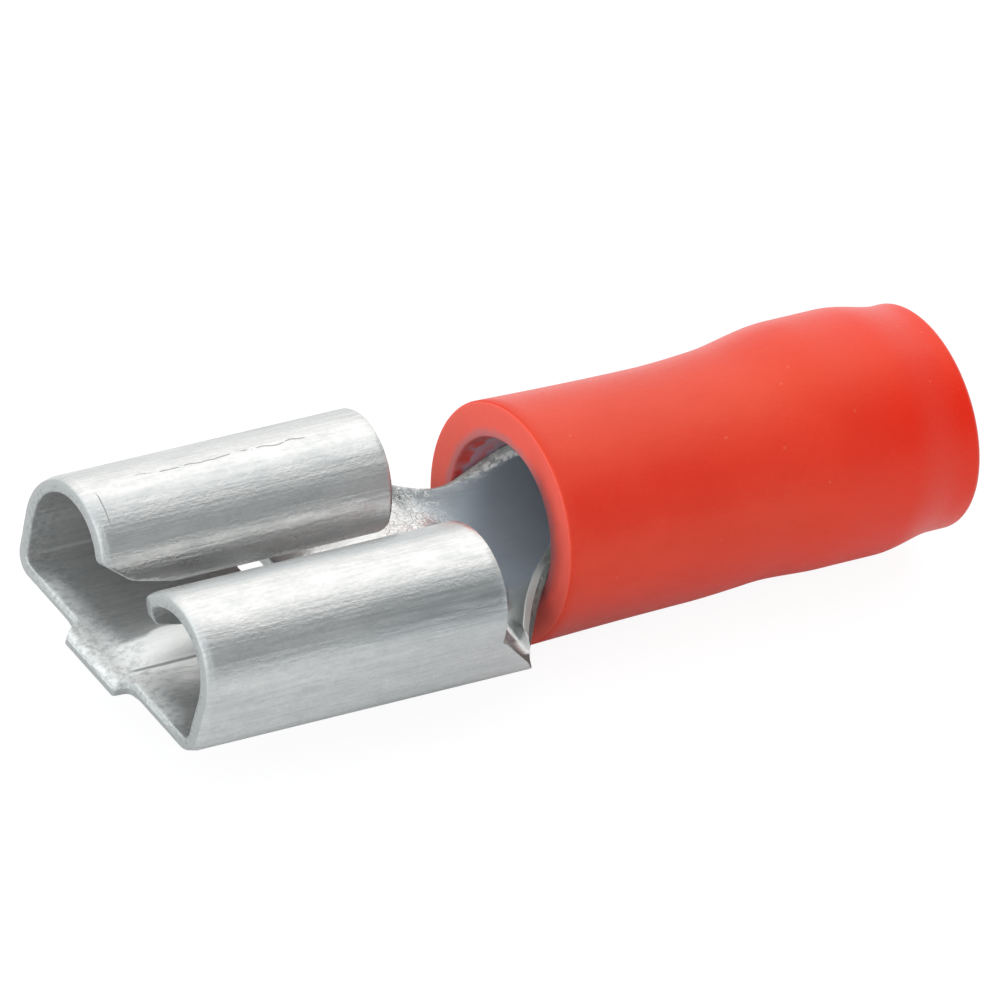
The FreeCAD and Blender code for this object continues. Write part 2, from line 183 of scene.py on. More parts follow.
class Finishes(bpy.types.PropertyGroup):
    """Colours of the two materials."""

    tin: colour("Tin", "Bright tin plating", (0.735, 0.73, 0.72))
    dull_tin: colour("Dull tin", "Dull patches and rolling marks", (0.46, 0.48, 0.485))
    # Painted shade: these bands stand in for dark reflections along the rolls and walls.
    shaded_tin: colour("Shaded tin", "Dull bands along the rolls and walls", (0.34, 0.37, 0.385))
    coined_tin: colour("Coined tin", "Pressed floor and tongue by the mouth", (0.84, 0.84, 0.82))
    # Partly painted shade: dull stretched plating whose dark, bluish tone also stands in for the shade in
    # the hollow.
    hollow_tin_and_shade: colour("Hollow tin", "Stretched plating inside the neck and barrel", (0.45, 0.495, 0.545))
    # Painted shade inside the neck's near curl.
    painted_curl_shade: colour("Curl tin", "Inside of the neck's near curl", (0.20, 0.22, 0.205))
    bare_cut: colour("Bare cut", "Sheared edges that the plating doesn't cover", (0.20, 0.215, 0.20))
    black_cut: colour("Black cut", "Darkest part of the neck's near cut", (0.045, 0.05, 0.045))
    rim_tin: colour("Rim tin", "Pressed front edges of the plated sheet", (0.52, 0.53, 0.525))
    # Serves real scratches and dirt, and painted shade in the creases.
    smudge_and_crease_shade: colour("Smudge", "Dark lines, creases and dirt", (0.20, 0.21, 0.215))
    # Serves real rubbed spots, veins and burrs, and painted highlights on the ridge and the neck.
    rubbed_and_highlight_tin: colour("Rubbed tin", "Bright rubbed spots and veins", (0.92, 0.92, 0.90))
    tin_roughness: share("Tin roughness", "Roughness of the tin plating", 0.27)
    red: colour("Red", "Sleeve plastic", (0.74, 0.036, 0.018))
    deep_red: colour("Deep red", "Darker clouds in the plastic", (0.70, 0.026, 0.012))
    # Painted reflection: a deeper red that stands in for weaker reflections towards the rear.
    painted_dim_tail: colour("Tail red", "Painted purer plastic towards the rear end", (0.79, 0.013, 0.004))
    # Painted light on the front face.
    face_painted_light: colour("Face red", "Painted lighter plastic of the cut front face", (0.95, 0.115, 0.085))
    dust_red: colour("Dust red", "Pale dust on the plastic", (0.9, 0.35, 0.25))
    # Painted shade and reflection round the mouth and deeper in the throat.
    mouth_shade: colour("Mouth shade", "Painted shade and reflection on plastic round the mouth", (0.62, 0.17, 0.175))
    throat_shade: colour("Throat shade", "Painted shade and reflection on plastic that grips the barrel", (0.44, 0.27, 0.34))
    # Painted shadow on the sleeve's front underside and on the lower, near side of its face.
    painted_shadow_red: colour("Dusk", "Painted shadow on the underside of the sleeve's front", (0.17, 0.022, 0.030))
    red_gloss: colour("Red gloss", "Tint of the plastic's reflections", (0.85, 1.0, 0.60))
    red_roughness: share("Red roughness", "Roughness of the sleeve plastic", 0.29)


class StageSizes(bpy.types.PropertyGroup):
    """Floor, light and camera."""

    floor_side: length("Floor side", "Side of the square floor", 1200)
    floor_colour: colour("Floor colour", "Plain pale floor", (0.74, 0.74, 0.74))
    camera_distance: length("Camera distance", "Camera to the part's origin", 400)
    lens: number("Lens", "Focal length for a 36 mm sensor", 676.8)
    softbox_side: length("Softbox side", "Side of the square softbox", 160)
    softbox_power: number("Softbox power", "Power of the softbox in watts", 0.03)


# Curves and meshes

NEARLY_STRAIGHT = math.radians(89)


def eased(step):
    """Zero to one, level at both ends."""
    step = np.clip(step, 0, 1)
    return step * step * (3 - 2 * step)


def on_curve(heights, step):
    """Height at a step from 0 to 1 along a curve with four control heights."""
    rest = 1 - step
    weights = (rest ** 3, 3 * rest ** 2 * step, 3 * rest * step ** 2, step ** 3)
    return sum(weight * height for weight, height in zip(weights, heights))


def rounded_path(corners, step):
    """Points along straight runs between (x, s, radius) corners."""
    path = [Vector(corners[0][:2])]
    for before, corner, after in zip(corners, corners[1:], corners[2:]):
        here, radius = Vector(corner[:2]), corner[2]
        back, ahead = Vector(before[:2]) - here, Vector(after[:2]) - here
        half_angle = back.angle(ahead) / 2
        if radius == 0 or half_angle > NEARLY_STRAIGHT:
            path.append(here)
            continue
        setback = min(radius / math.tan(half_angle), back.length / 2, ahead.length / 2)
        radius = setback * math.tan(half_angle)
        towards = (back.normalized() + ahead.normalized()).normalized()
        centre = here + towards * (radius / math.sin(half_angle))
        first = here + back.normalized() * setback - centre
        last = here + ahead.normalized() * setback - centre
        sweep = first.angle_signed(last)
        count = max(2, math.ceil(abs(sweep) * radius / step * 2))
        for index in range(count + 1):
            path.append(centre + Matrix.Rotation(-sweep * index / count, 2) @ first)
    path.append(Vector(corners[-1][:2]))
    return path


def evenly(path, step):
    """The same path with no run longer than step."""
    fine = []
    for first, last in zip(path, path[1:]):
        count = max(1, math.ceil((last - first).length / step))
        fine += [first.lerp(last, index / count) for index in range(count)]
    return fine + [path[-1]]


def marks(*runs):
    """Positions from (start, end, spacing) runs that follow each other."""
    places = []
    for start, end, spacing in runs:
        count = max(1, round((end - start) / spacing))
        places += [start + (end - start) * index / count for index in range(count)]
    return np.array(places + [runs[-1][1]])


def inside_loop(points, loop):
    """True for each point that lies within a closed loop."""
    x, s = points[:, 0, None], points[:, 1, None]
    x0, s0 = loop[None, :, 0], loop[None, :, 1]
    x1, s1 = np.roll(x0, -1, axis=1), np.roll(s0, -1, axis=1)
    rises = (s0 > s) != (s1 > s)
    crossing = x0 + (s - s0) * (x1 - x0) / np.where(s1 == s0, 1, s1 - s0)
    return (rises & (x < crossing)).sum(axis=1) % 2 == 1


def distance_to_loop(points, loop):
    """Distance from each point to the nearest run of a closed loop."""
    run = np.roll(loop, -1, axis=0) - loop
    squared = np.maximum((run ** 2).sum(axis=1), 1e-30)
    nearest = np.empty(len(points))
    batch = 2000
    for start in range(0, len(points), batch):
        offset = points[start:start + batch, None] - loop[None]
        along = np.clip((offset * run).sum(axis=2) / squared, 0, 1)
        gap = offset - along[..., None] * run
        nearest[start:start + batch] = np.sqrt((gap ** 2).sum(axis=2)).min(axis=1)
    return nearest


def inward(loop):
    """Unit normals of a closed loop that point into the sheet."""
    run = np.roll(loop, -1, axis=0) - np.roll(loop, 1, axis=0)
    run /= np.linalg.norm(run, axis=1)[:, None]
    return np.stack([-run[:, 1], run[:, 0]], axis=1)


def new_object(name, data):
    made = bpy.data.objects.new(name, data)
    bpy.context.scene.collection.objects.link(made)
    return made


def turn_outward(mesh):
    """Turns every face of a closed mesh outward."""
    solid = bmesh.new()
    solid.from_mesh(mesh)
    bmesh.ops.recalc_face_normals(solid, faces=solid.faces)
    solid.to_mesh(mesh)
    solid.free()
    mesh.update()


# The terminal's blank: x runs along it, s across it from the middle of the
# floor, and out from the middle of the sheet to the outer face.

NECK_EDGE_CLIMB = (0.0, 0.49, 0.34, 1.0)
TROUGH_EDGE_RUN = (0, 0.28, 0.55, 1)
TROUGH_EDGE_CLIMB = (0, 0.45, 1.0, 1)
RIDGE_NOSE = 0.2 * MM
RIDGE_FIRST_STEP, RIDGE_BOW = 0.10, 1.857
NEARLY_FLAT = 1e-3
QUARTER_ROUND_CUT = 0.293


def wing_bends(size):
    """Centres, radii and lengths of the bends from the floor to a roll's tip."""
    half = size.sheet / 2
    roll_mid = size.roll_radius - half
    corner_mid = size.corner_radius - half
    roll = np.array([size.half_width - size.roll_radius, size.top - size.roll_radius])
    corner = np.array([size.half_width - size.wall_inset - size.corner_radius, size.corner_radius])
    span = roll - corner
    reach = math.hypot(*span)
    wall = math.atan2(span[1], span[0]) - math.acos((corner_mid - roll_mid) / reach)
    flat = corner[0]
    bend_end = flat + corner_mid * (wall + math.pi / 2)
    wall_end = bend_end + math.sqrt(reach ** 2 - (corner_mid - roll_mid) ** 2)
    return SimpleNamespace(
        roll=roll, corner=corner, roll_mid=roll_mid, corner_mid=corner_mid, wall=wall,
        flat=flat, bend_end=bend_end, wall_end=wall_end, tip=wall_end + roll_mid * (size.roll_tip - wall))


def place_on_wing(size, across, out):
    """Distance from the middle and height of points of the floor and a wing."""
    bend = wing_bends(size)
    wall = bend.wall
    angle = np.minimum(-math.pi / 2 + (across - bend.flat) / bend.corner_mid, wall)
    on_bend = across > bend.flat
    radius = bend.corner_mid + out
    y = np.where(on_bend, bend.corner[0] + radius * np.cos(angle), np.minimum(across, bend.flat))
    z = np.where(on_bend, bend.corner[1] + radius * np.sin(angle), size.sheet / 2 - out)
    run = np.clip(across, bend.bend_end, bend.wall_end) - bend.bend_end
    y = y - run * math.sin(wall)
    z = z + run * math.cos(wall)
    on_roll = across > bend.wall_end
    angle = wall + (across - bend.wall_end) / bend.roll_mid
    radius = bend.roll_mid + out
    y = np.where(on_roll, bend.roll[0] + radius * np.cos(angle), y)
    z = np.where(on_roll, bend.roll[1] + radius * np.sin(angle), z)
    return y, z


def neck_arc(size, x):
    """Lowest height, half width, edge height and curvature of the underside."""
    axis = TERMINAL_LOW.z + size.barrel_radius
    neck_length = size.neck_end - size.floor_end
    low = (axis - size.barrel_radius) * eased((x - size.floor_end) / neck_length)
    # The neck narrows evenly, then softly over the last part into the barrel's width.
    left, soft = (size.neck_end - x) / neck_length, 0.42
    narrowing = np.where(left > soft, left, np.maximum(left + soft, 0) ** 2 / (4 * soft))
    half_width = size.barrel_radius + (size.neck_half_width - size.barrel_radius) * np.minimum(narrowing, 1)
    bow = axis * on_curve(NECK_EDGE_CLIMB, np.clip((x - size.floor_end) / neck_length, 0, 1)) - low
    return low, half_width, bow, 2 * bow / (half_width ** 2 + bow ** 2)


def underside(size, x, s):
    """Points of the outer face of the neck and barrel, and their turn."""
    low, _, _, curvature = neck_arc(size, x)
    curvature = np.maximum(curvature, NEARLY_FLAT)
    angle = s * curvature / (1 - curvature * size.sheet / 2)
    y, z = np.sin(angle) / curvature, low + (1 - np.cos(angle)) / curvature
    return np.stack([x + 0 * s, y, z], axis=-1), angle


def place_on_neck(size, x, s, out):
    """Points of the neck and barrel, the given distance outside mid sheet."""
    base, angle = underside(size, x, s)
    # Beside the floor the sheet's edge faces straight up; behind the turning
    # length it faces square to the surface.
    stride, turning = 0.02 * MM, 0.45 * MM
    along = underside(size, x + stride, s)[0] - underside(size, x - stride, s)[0]
    across = np.stack([0 * angle, np.cos(angle), np.sin(angle)], axis=-1)
    facing = np.cross(along, across)
    facing /= np.linalg.norm(facing, axis=-1)[..., None]
    plain = np.stack([0 * angle, -np.sin(angle), np.cos(angle)], axis=-1)
    true = eased((x - size.floor_end) / turning)
    facing = plain + (facing - plain) * true[..., None]
    facing /= np.linalg.norm(facing, axis=-1)[..., None]
    return base + facing * (size.sheet / 2 - out)[..., None]


def ridge_lift(size, x, s, out):
    """How far the ridge stands above the flat floor."""
    step = np.clip((x - size.ridge_start) / size.ridge_swell, 0, 1)
    climbed = RIDGE_FIRST_STEP + (1 - RIDGE_FIRST_STEP) * (1 - (1 - step) ** RIDGE_BOW)
    height = size.ridge_height * climbed
    half_width = size.ridge_half_width - size.sheet / 4 - out / 2
    radius = (half_width ** 2 + height ** 2) / (2 * height)
    lift = np.sqrt(np.maximum(radius ** 2 - s ** 2, 0)) - (radius - height)
    there = (x >= size.ridge_start - RIDGE_NOSE) & (x <= size.slot_start + size.slot_length / 2)
    nose = eased((x - size.ridge_start + RIDGE_NOSE) / RIDGE_NOSE)
    return np.where(there, np.maximum(lift, 0) * nose, 0)


def fold(size, x, s, out):
    """Folds points of the blank to their places in the terminal."""
    x, s, out = np.broadcast_arrays(*(np.asarray(value, dtype=float) for value in (x, s, out)))
    tongue_side, tongue_fade = 1.25 * MM, 0.25 * MM
    beside_tongue = eased((np.abs(s) - tongue_side) / tongue_fade)
    coin = np.clip(1 - x / size.coin_length, 0, 1) * beside_tongue
    lead = np.clip((TERMINAL_LOW.x + size.lip_lead - x) / size.lip_lead, 0, 1)
    half = size.sheet / 2
    coined, bevelled = out * (1 - coin * size.coin_depth / half), out * (1 - lead * size.lip_drop / half)
    out = np.where(out > 0, coined, bevelled)
    y, z = place_on_wing(size, np.abs(s), out)
    z = z + ridge_lift(size, x, s, out)
    place = np.stack([x, y * np.sign(s), z], axis=-1)
    behind = x > size.floor_end
    return np.where(behind[..., None], place_on_neck(size, x, s, out), place)


def rear_slope(size, step):
    """Points of the cut from the rear of a wall down to the floor's end."""
    bend = wing_bends(size)
    across = np.linspace(bend.flat, bend.wall_end, 400)
    height = place_on_wing(size, across, 0 * across)[1]
    low = np.interp(size.neck_half_width + 0.02 * MM, across, height)
    places = np.arange(size.roll_length, size.floor_end, step)[1:]
    drop = (low - size.slope_top) * (places - size.roll_length) / (size.floor_end - size.roll_length)
    return [Vector(pair) for pair in zip(places, np.interp(size.slope_top + drop, height, across))]


def roll_tips(size):
    """Corners of the near and far roll's tips, from the mouth to the rear."""
    bend = wing_bends(size)
    tip, mid = bend.tip, bend.roll_mid
    near = [
        (0, tip - mid * size.near_lead, 0.5 * MM),
        (size.near_length, tip - mid * size.near_knee, 0.3 * MM),
        (2.5 * size.near_length, tip, 0.8 * MM),
        (size.roll_length, tip, size.rear_rounding),
    ]
    far = [
        (0, tip - mid * size.far_lead, 0.25 * MM),
        (size.knee, tip - mid * size.far_knee, 1.0 * MM),
        (size.lead_length, tip, 1.0 * MM),
        (size.roll_length - size.far_skew, tip, size.rear_rounding),
    ]
    return near, far


def blank_edge(size, lip, tip, step):
    """Half of the blank's outline, from the tongue's front to the barrel's end."""
    slope = rear_slope(size, step)
    half = size.sheet / 2

    def arc(x):
        """Radius of the middle of the sheet, and the angle up to its edge."""
        _, half_width, bow, curvature = neck_arc(size, x)
        return 1 / curvature - half, 2 * np.arctan(bow / half_width)

    front = [
        (TERMINAL_LOW.x, 0, 0),
        (TERMINAL_LOW.x, lip, 0.08 * MM),
        (0, size.lip_root, 0.16 * MM),
        *tip,
        (size.roll_length, slope[0].y + 0.01 * MM, 0.08 * MM),
        (*slope[1], 0),
    ]
    path = rounded_path(front, step) + slope[2:]
    for x in np.arange(size.floor_end, size.neck_end, step)[1:]:
        radius, angle = arc(x)
        path.append(Vector((x, radius * angle)))
    # The trough's edge climbs a curve until it meets the other at the seam.
    joined = (size.barrel_radius - half) * math.pi - size.seam / 2
    start = arc(size.neck_end)[1]
    for climb in np.linspace(0, 1, 24):
        x = size.neck_end + (size.barrel_closed - size.neck_end) * on_curve(TROUGH_EDGE_RUN, climb)
        up = math.asin(min(1, on_curve(TROUGH_EDGE_CLIMB, climb)))
        edge = arc(x)[0] * (start + up * (math.pi - start) * 2 / math.pi)
        path.append(Vector((x, min(edge, joined))))
    path.append(Vector((size.barrel_closed + 0.05 * MM, joined)))
    seam_start = (size.barrel_closed + 0.1 * MM, joined, 0)
    path += rounded_path([seam_start, (size.barrel_end, joined, 0.06 * MM), (size.barrel_end, 0, 0)], step)
    return evenly(path, step)


def blank_loops(size, step):
    """Closed loops of the blank: its outline and the slot, sheet to the left."""
    near_tip, far_tip = roll_tips(size)
    far = blank_edge(size, size.lip_far, far_tip, step)
    near = [Vector((x, -s)) for x, s in blank_edge(size, size.lip_near, near_tip, step)]
    outline = near + far[-2:0:-1]
    x0, x1, side = size.slot_start, size.slot_start + size.slot_length, size.slot_half_width
    turns = [(x, s, 0.15 * MM) for x, s in ((x0, side), (x1, side), (x1, -side), (x0, -side))]
    slot = evenly(rounded_path([(x0, 0, 0), *turns, (x0, 0, 0)], step), step)[:-1]
    return [np.array([point[:] for point in loop]) for loop in (outline, slot)]


def blank_grid(size):
    """Points to fill the blank with, closer together where it bends."""
    bend = wing_bends(size)
    ridge_foot, rear = 2.2 * MM, 8.3 * MM
    along = marks(
        (TERMINAL_LOW.x, 0, 0.075 * MM),
        (0, size.coin_length, 0.055 * MM),
        (size.coin_length, ridge_foot, 0.08 * MM),
        (ridge_foot, rear, 0.16 * MM),
        (rear, size.floor_end, 0.075 * MM),
        (size.floor_end, size.barrel_closed, 0.075 * MM),
        (size.barrel_closed, size.barrel_end, 0.22 * MM),
    )
    crease = size.ridge_half_width
    under_crease = crease - size.sheet / 2
    across = marks(
        (0, under_crease, 0.087 * MM),
        (under_crease, crease, 0.08 * MM),
        (crease, bend.flat, 0.09 * MM),
        (bend.flat, bend.bend_end, 0.05 * MM),
        (bend.bend_end, bend.wall_end, 0.13 * MM),
        (bend.wall_end, bend.tip, 0.08 * MM),
    )
    across = np.concatenate([-across[:0:-1], across])
    return np.stack(np.meshgrid(along, across, indexing="ij"), axis=-1).reshape(-1, 2)


def edge_gap(points, loops):
    """Distance from each point to the nearest edge of the blank."""
    return np.minimum(*(distance_to_loop(points, loop) for loop in loops))


def on_sheet(points, loops):
    """True for each point within the outline and outside the slot."""
    return inside_loop(points, loops[0]) & ~inside_loop(points, loops[1])


def blank_sheet(size, loops):
    """Fills the blank with triangles, set back from its edges.

    Gives the points, the triangles and the numbers of each loop's points.
    """
    inner = [loop + inward(loop) * size.edge_rounding for loop in loops]
    grid = blank_grid(size)
    grid = grid[on_sheet(grid, loops)]
    grid = grid[edge_gap(grid, loops) > size.edge_rounding + 0.025 * MM]
    ring, numbers = [], []
    for loop, start in zip(loops, (0, len(loops[0]))):
        numbers.append(range(start, start + len(loop)))
        ring += [(start + index, start + (index + 1) % len(loop)) for index in range(len(loop))]
    scaled = [Vector(point) for point in np.concatenate([*inner, grid]) / MM]
    places, _, triangles, sources, _, _ = delaunay_2d_cdt(scaled, ring, [], 1, 1e-6)
    place = np.array([point[:] for point in places]) * MM
    origin = {before[0]: now for now, before in enumerate(sources) if before}
    middles = np.array([place[list(face)].mean(axis=0) for face in triangles])
    skin = [tuple(face) for face, kept in zip(triangles, on_sheet(middles, inner)) if kept]
    return place, skin, [[origin[index] for index in loop] for loop in numbers]


def unevenness(x, s, seed, period):
    """Smooth noise from 0 to 1 along the blank."""
    return 0.5 + 0.5 * noise.noise(Vector((x / period, s / period, seed)))


def terminal_mesh(size):
    """The folded blank: two faces, and rounded rims round every loop."""
    half, rounding = size.sheet / 2, size.edge_rounding
    edge_step, edge_band, ripple = 0.055 * MM, 0.30 * MM, 0.11 * MM
    loops = blank_loops(size, edge_step)
    place, skin, rims = blank_sheet(size, loops)
    blank = [np.column_stack([place, np.full(len(place), level)]) for level in (half, -half)]
    edge = [np.clip(1 - edge_gap(place, loops) / edge_band, 0, 1)] * 2
    faces = skin + [tuple(index + len(place) for index in reversed(face)) for face in skin]
    # Each rim runs from the outer to the inner face over two quarter rounds.
    mid_round = QUARTER_ROUND_CUT * rounding
    rows = [
        (mid_round, half - mid_round), (0, half - rounding), (0, half * 0.3),
        (0, -half * 0.3), (0, rounding - half), (mid_round, mid_round - half),
    ]
    count = 2 * len(place)
    for loop, rim in zip(loops, rims):
        normal = inward(loop)
        levels = [rim]
        for row_number, (inset, out) in enumerate(rows):
            rough = np.array([unevenness(x, s, row_number * 0.9, ripple) for x, s in loop])
            row = loop + normal * (inset + rough ** 2 * size.edge_roughness)[:, None]
            blank.append(np.column_stack([row, np.full(len(loop), out)]))
            edge.append(np.ones(len(loop)))
            levels.append(list(range(count, count + len(loop))))
            count += len(loop)
        levels.append([index + len(place) for index in rim])
        for upper, lower in zip(levels, levels[1:]):
            for index in range(len(loop)):
                after = (index + 1) % len(loop)
                faces.append((upper[index], lower[index], lower[after], upper[after]))
    blank, edge = np.concatenate(blank), np.concatenate(edge)
    mesh = bpy.data.meshes.new("terminal_skin")
    mesh.from_pydata(fold(size, *blank.T).tolist(), [], faces)
    mesh.attributes.new("blank", "FLOAT_VECTOR", "POINT").data.foreach_set("vector", (blank / MM).ravel())
    mesh.attributes.new("cut_edge", "FLOAT", "POINT").data.foreach_set("value", edge)
    turn_outward(mesh)
    mesh.shade_smooth()
    return mesh


def sleeve_profile(size):
    """Closed section of the sleeve's wall, as (x, radius, rise) points."""
    x0, end, waist = size.front, size.end, size.waist_radius
    waist_at, bulge_at, tail_at = 15.70 * MM, 17.60 * MM, end - 0.48 * MM
    tail_step, step = 1.50 * MM, 0.12 * MM
    front_round, tail_round, entry_round, mouth_round = 0.07 * MM, 0.16 * MM, 0.15 * MM, 0.10 * MM
    barrel_end, funnel_front, funnel_end, funnel_length = 16.35 * MM, 16.55 * MM, 17.50 * MM, 0.95 * MM
    flare_end = (x0 + 0.12 * MM, size.throat_radius + 0.24 * MM)

    def outer_radius(x):
        if x < waist_at:
            return waist + (size.front_radius - waist) * ((waist_at - x) / (waist_at - x0)) ** 2
        if x < bulge_at:
            return waist + (size.bulge_radius - waist) * float(eased((x - waist_at) / (bulge_at - waist_at)))
        shrunk = float(eased((x - tail_at + tail_step) / tail_step))
        return size.bulge_radius + (size.tail_radius - size.bulge_radius) * shrunk

    def rise_at(x):
        return size.rise * float(eased((x - size.rise_start) / (size.rise_end - size.rise_start)))

    outer = [(*flare_end, 0), (x0, size.mouth_radius, mouth_round), (x0, size.front_radius, front_round)]
    outer += [(x, outer_radius(x), 0) for x in np.arange(x0 + 2 * front_round, end - 2 * tail_round, step)]
    outer += [(end, size.tail_radius, tail_round), (end, size.entry_radius, entry_round)]
    outer += [(funnel_end, size.entry_radius, 0)]
    points = evenly(rounded_path(outer, 0.05 * MM), step)
    profile = [(point.x, point.y, rise_at(point.x)) for point in points]
    funnel = [Vector((funnel_end, size.entry_radius)), Vector((funnel_front, size.stop_radius))]
    for x, radius in evenly(funnel, step)[1:]:
        profile.append((x, radius, size.rise * (x - funnel_front) / funnel_length))
    bore = [
        Vector((barrel_end, size.stop_radius)), Vector((barrel_end, size.throat_radius)),
        Vector((x0 + 0.60 * MM, size.throat_radius)), Vector(flare_end),
    ]
    return profile + [(x, radius, 0) for x, radius in evenly(bore, 0.4 * MM)[:-1]]


# Node tools

class Signal:
    """An output of a node. Sums with it become nodes of the same tree.

    The sign | stands for the larger of two.
    """

    def __init__(self, socket):
        self.socket = socket
        self.tree = socket.id_data

    def maths(self, operation, *others):
        values = dict(enumerate((self, *others)))
        return add(self.tree, "ShaderNodeMath", values, operation=operation)

    __add__ = partialmethod(maths, "ADD")
    __sub__ = partialmethod(maths, "SUBTRACT")
    __mul__ = partialmethod(maths, "MULTIPLY")
    __truediv__ = partialmethod(maths, "DIVIDE")
    __mod__ = partialmethod(maths, "MODULO")
    __gt__ = partialmethod(maths, "GREATER_THAN")
    __lt__ = partialmethod(maths, "LESS_THAN")
    __abs__ = partialmethod(maths, "ABSOLUTE")
    __or__ = partialmethod(maths, "MAXIMUM")

    def __rtruediv__(self, other):
        return add(self.tree, "ShaderNodeMath", {0: other, 1: self}, operation="DIVIDE")

    def fade(self, first, last, start=0.0, end=1.0):
        """Eases from start at the first place to end at the last one."""
        values = {"Value": self, "From Min": first, "From Max": last, "To Min": start, "To Max": end}
        return add(self.tree, "ShaderNodeMapRange", values, interpolation_type="SMOOTHSTEP")

    def band(self, low, high, soft):
        """One between low and high, fading out over soft on either side."""
        return self.fade(low - soft, low) * self.fade(high + soft, high)

    def parts(self):
        """The three parts of a vector."""
        return [Signal(socket) for socket in add_node(self.tree, "ShaderNodeSeparateXYZ", {0: self}).outputs]

    def noise(self, scale, detail, **values):
        values = {"Vector": self, "Scale": scale, "Detail": detail, **values}
        return add(self.tree, "ShaderNodeTexNoise", values)


def set_inputs(node, values):
    """Sets or links inputs of a node by name or number."""
    for key, value in values.items():
        socket = node.inputs[key]
        if isinstance(value, Signal):
            value.tree.links.new(value.socket, socket)
        else:
            socket.default_value = (*value, 1.0) if socket.type == "RGBA" else value


def add_node(tree, kind, values=None, **settings):
    node = tree.nodes.new(kind)
    for name, value in settings.items():
        setattr(node, name, value)
    set_inputs(node, values or {})
    return node


def add(tree, kind, values=None, output=0, **settings):
    """Adds a node and gives one of its outputs."""
    return Signal(add_node(tree, kind, values, **settings).outputs[output])


def vector(x, y, z=0.0):
    return add(x.tree, "ShaderNodeCombineXYZ", {"X": x, "Y": y, "Z": z})


def paint(base, *coats):
    """Colour of a base under coats, each given as a mask and a colour."""
    for mask, coat in coats:
        base = add(mask.tree, "ShaderNodeMix", {0: mask, 6: base, 7: coat}, 2, data_type="RGBA")
    return base


def start_group(kind, name, inputs, result, result_type):
    """Starts a node group and gives its inputs.

    An input is named with its type or, for a plain number, its default.
    """
    group = bpy.data.node_groups.new(name, kind)
    for socket, form in inputs.items():
        plain = not isinstance(form, str)
        socket_type = "NodeSocketFloat" if plain else "NodeSocket" + form
        made = group.interface.new_socket(socket, in_out="INPUT", socket_type=socket_type)
        if plain:
            made.default_value = form
    group.interface.new_socket(result, in_out="OUTPUT", socket_type=result_type)
    return [Signal(socket) for socket in group.nodes.new("NodeGroupInput").outputs[:len(inputs)]]


def end_tree(result, kind="NodeGroupOutput"):
    """Ends a tree with its result, and gives the tree."""
    add_node(result.tree, kind, {0: result})
    return result.tree


def mask_group(name, inputs):
    return start_group("ShaderNodeTree", name, {"Vector": "Vector", **inputs}, "Mask", "NodeSocketFloat")


def end_shapes(shapes, material):
    """Ends a geometry group with real shapes that carry their material."""
    real = add(shapes.tree, "GeometryNodeRealizeInstances", {"Geometry": shapes})
    return end_tree(add(shapes.tree, "GeometryNodeSetMaterial", {"Geometry": real, "Material": material}))


def empty_tree(owner):
    owner.use_nodes = True
    owner.node_tree.nodes.clear()
    return owner.node_tree


# Node trees that make shapes

def sleeve_tree():
    """Node tree that turns a profile into a closed sleeve.

    The profile's points hold x, the radius and the rise of their ring.
    """
    inputs = {
        "Profile": "Geometry", "Segments": "Int", "Axis Height": "Float", "Lean Start": "Float",
        "Lean End": "Float", "Lean": "Float", "Waviness": "Float", "Material": "Material",
    }
    profile, segments, axis, lean_start, lean_end, lean, waviness, material = start_group(
        "GeometryNodeTree", "Turned Sleeve", inputs, "Sleeve", "NodeSocketGeometry")
    tree = profile.tree
    size = add(tree, "GeometryNodeAttributeDomainSize", {"Geometry": profile}, "Point Count")
    steps = segments + 1
    sheet = add(tree, "GeometryNodeMeshGrid", {"Vertices X": size + 1, "Vertices Y": steps}, "Mesh")
    index = add(tree, "GeometryNodeInputIndex")
    ring = (index / steps).maths("FLOOR") % size
    angle = index % steps / segments * math.tau
    values = {"Geometry": profile, "Index": ring}
    sample = add_node(tree, "GeometryNodeSampleIndex", values, data_type="FLOAT_VECTOR")
    value_in = next(socket for socket in sample.inputs if socket.name == "Value" and socket.enabled)
    tree.links.new(add(tree, "GeometryNodeInputPosition").socket, value_in)
    x, radius, rise = Signal(next(socket for socket in sample.outputs if socket.enabled)).parts()
    sine, cosine = angle.maths("SINE"), angle.maths("COSINE")
    wave_ring = 4 * MM
    waves = vector(x, sine * wave_ring, cosine * wave_ring).noise(260, 1)
    radius = radius - waves * waviness
    level = cosine * radius
    forward = level * lean.maths("TANGENT") * x.fade(lean_start, lean_end)
    place = vector(x - forward, sine * radius, level + rise + axis)
    turned = add(tree, "GeometryNodeSetPosition", {"Geometry": sheet, "Position": place})
    closed = add(tree, "GeometryNodeMergeByDistance", {"Geometry": turned, "Distance": 1e-7})
    return end_shapes(add(tree, "GeometryNodeSetShadeSmooth", {"Geometry": closed}), material)


